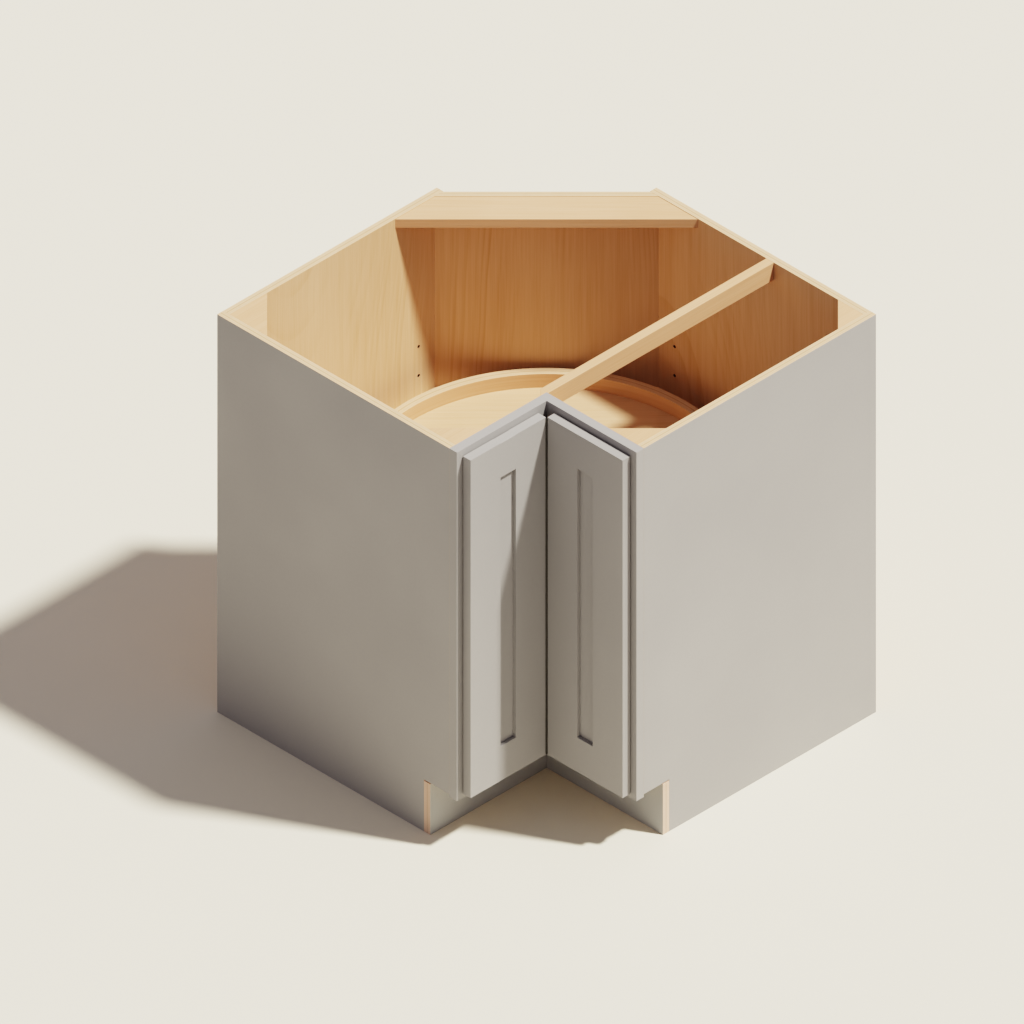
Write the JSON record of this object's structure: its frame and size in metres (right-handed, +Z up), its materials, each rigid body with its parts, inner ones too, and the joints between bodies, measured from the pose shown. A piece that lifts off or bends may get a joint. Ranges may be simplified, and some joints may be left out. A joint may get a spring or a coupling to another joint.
{
  "type": "corner carousel cabinet",
  "caption": "L-shaped kitchen corner base cabinet with two turning wedge-cut trays, folding recessed-panel doors and an angled back.",
  "frame": {"origin": "on the floor at the middle of the 838.2 by 838.2 mm footprint, below the axis that both trays turn about", "axes": "+Z up; room walls at -X (left wall) and +Y (rear wall); the notch with the doors at +X -Y; left door faces +X, right door faces -Y"},
  "size_m": [0.8382, 0.8382, 0.8763],
  "materials": {
    "grey_paint": "satin painted",
    "maple_plywood": "clear satin lacquer",
    "zinc_steel": "satin zinc plate",
    "dark_bronze": "dark satin",
    "white_plastic": "matte",
    "soft_dots": "clear soft"
  },
  "bodies": {
    "cabinet": {"left_end_panel": "grey_paint", "right_end_panel": "grey_paint", "left_wall_panel": "maple_plywood", "rear_wall_panel": "maple_plywood", "diagonal_back_panel": "maple_plywood", "cabinet_floor": "maple_plywood", "fixed_shelf": "maple_plywood", "left_toe_board": "grey_paint", "right_toe_board": "grey_paint", "left_frame_stile": "grey_paint", "right_frame_stile": "grey_paint", "left_top_rail": "grey_paint", "right_top_rail": "grey_paint", "left_bottom_rail": "grey_paint", "right_bottom_rail": "grey_paint", "rear_corner_brace": "maple_plywood", "cross_rail": "maple_plywood", "corner_blocks": "maple_plywood", "floor_cleats": "maple_plywood", "shelf_pins": "zinc_steel", "hinge_arms": "zinc_steel", "hinge_arm_screws": "zinc_steel", "magnetic_catch": "white_plastic", "upper_bearing_base": "zinc_steel", "upper_bearing_screws": "zinc_steel", "lower_bearing_base": "zinc_steel", "lower_bearing_screws": "zinc_steel"},
    "right_door": {"right_door_outer_stile": "grey_paint", "right_door_inner_stile": "grey_paint", "right_door_top_rail": "grey_paint", "right_door_bottom_rail": "grey_paint", "right_door_panel": "grey_paint", "hinge_cups": "zinc_steel", "hinge_cup_screws": "zinc_steel", "fold_hinge_right_leaf": "dark_bronze", "fold_hinge_pin": "dark_bronze", "right_door_bumpers": "soft_dots"},
    "left_door": {"left_door_outer_stile": "grey_paint", "left_door_inner_stile": "grey_paint", "left_door_top_rail": "grey_paint", "left_door_bottom_rail": "grey_paint", "left_door_panel": "grey_paint", "fold_hinge_left_leaf": "dark_bronze", "left_door_bumpers": "soft_dots", "catch_plate": "zinc_steel"},
    "upper_tray": {"upper_tray_floor": "maple_plywood", "upper_tray_rim": "maple_plywood", "upper_tray_side_rims": "maple_plywood", "upper_bearing_top": "zinc_steel", "upper_tray_screws": "zinc_steel"},
    "lower_tray": {"lower_tray_floor": "maple_plywood", "lower_tray_rim": "maple_plywood", "lower_tray_side_rims": "maple_plywood", "lower_bearing_top": "zinc_steel", "lower_tray_screws": "zinc_steel"},
    "upper_ball_ring": {"upper_ball_cage": "white_plastic", "upper_balls": "zinc_steel"},
    "lower_ball_ring": {"lower_ball_cage": "white_plastic", "lower_balls": "zinc_steel"}
  },
  "joints": [
    {"name": "door_hinge", "type": "hinge", "parent": "cabinet", "child": "right_door", "pos_m": [0.4048, -0.2115, 0.49], "axis": [0, 0, 1], "range_deg": [0, 165]},
    {"name": "door_fold", "type": "hinge", "parent": "right_door", "child": "left_door", "pos_m": [0.21245, -0.21245, 0.49], "axis": [0, 0, 1], "range_deg": [-90, 0]},
    {"name": "upper_tray_turn", "type": "hinge", "parent": "cabinet", "child": "upper_tray", "pos_m": [0, 0, 0.47], "axis": [0, 0, 1], "range_deg": [-180, 0]},
    {"name": "lower_tray_turn", "type": "hinge", "parent": "cabinet", "child": "lower_tray", "pos_m": [0, 0, 0.147], "axis": [0, 0, 1], "range_deg": [-180, 0]},
    {"name": "upper_ball_turn", "type": "hinge", "parent": "cabinet", "child": "upper_ball_ring", "pos_m": [0, 0, 0.46], "axis": [0, 0, 1], "range_deg": [-90, 0]},
    {"name": "lower_ball_turn", "type": "hinge", "parent": "cabinet", "child": "lower_ball_ring", "pos_m": [0, 0, 0.138], "axis": [0, 0, 1], "range_deg": [-90, 0]}
  ],
  "couplings": [
    {"joint": "door_fold", "follows": "door_hinge", "ratio": -0.545},
    {"joint": "upper_tray_turn", "follows": "door_hinge", "ratio": -1.09},
    {"joint": "lower_tray_turn", "follows": "door_hinge", "ratio": -1.09},
    {"joint": "upper_ball_turn", "follows": "door_hinge", "ratio": -0.545},
    {"joint": "lower_ball_turn", "follows": "door_hinge", "ratio": -0.545}
  ]
}
